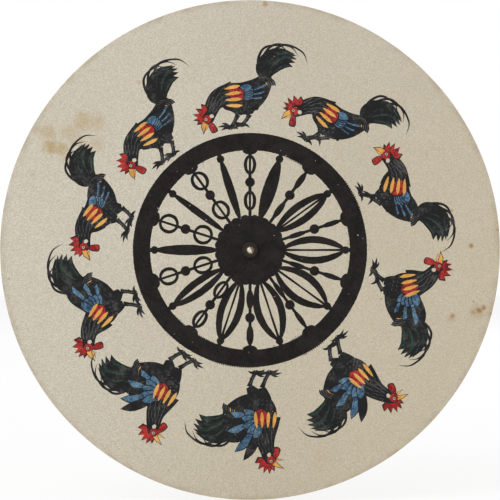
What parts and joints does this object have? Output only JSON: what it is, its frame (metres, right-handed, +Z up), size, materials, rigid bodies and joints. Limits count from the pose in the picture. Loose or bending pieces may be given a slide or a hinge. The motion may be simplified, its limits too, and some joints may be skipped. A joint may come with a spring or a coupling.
{
  "type": "phenakistiscope",
  "caption": "Round printed picture disc clamped on a steel spindle that spins in a bushed, turned wooden handle.",
  "frame": {"origin": "on the spindle axis, at the middle of the handle's cylindrical grip", "axes": "+Y along the spindle axis from the printed face to the end cap, +Z up, +X to the right seen from the front"},
  "size_m": [0.245, 0.141, 0.245],
  "materials": {
    "print_paper": "aged cream paper, printed and hand-coloured",
    "pasteboard": "grey-brown layered pasteboard",
    "back_paper": "plain aged paper",
    "bright_steel": "ground bright steel",
    "black_brass": "blackened brass, worn at the edges",
    "old_brass": "turned brass with a brown patina",
    "leather": "brown leather",
    "boxwood": "polished boxwood",
    "hardwood": "dark red-brown hardwood, french polished",
    "bone": "turned bone"
  },
  "bodies": {
    "handle": {"handle_grip": "hardwood", "ferrule": "old_brass", "ferrule_pins": "old_brass", "front_bearing": "old_brass", "rear_bearing": "old_brass", "thrust_washer": "old_brass", "rear_washer": "old_brass", "end_cap": "bone"},
    "rotor": {"spindle": "bright_steel", "printed_sheet": "print_paper", "card_core": "pasteboard", "backing_sheet": "back_paper", "leather_washer": "leather", "finger_wheel": "boxwood", "wheel_hub": "old_brass", "wheel_pin": "bright_steel", "retaining_collar": "old_brass", "collar_pin": "bright_steel"},
    "nut_washer": {"front_washer": "black_brass"},
    "nut": {"clamp_nut": "black_brass"}
  },
  "joints": [
    {"name": "disc_spin", "type": "hinge", "parent": "handle", "child": "rotor", "pos_m": [0, 0, 0], "axis": [0, -1, 0], "continuous": true},
    {"name": "nut_travel", "type": "slide", "parent": "rotor", "child": "nut_washer", "axis": [0, -1, 0], "range_m": [0, 0.0024]},
    {"name": "nut_turn", "type": "hinge", "parent": "nut_washer", "child": "nut", "pos_m": [0, -0.1155, 0], "axis": [0, -1, 0], "range_deg": [0, 1234.3]}
  ],
  "couplings": [
    {"joint": "nut_turn", "follows": "nut_travel", "rad_per_m": 8976}
  ]
}
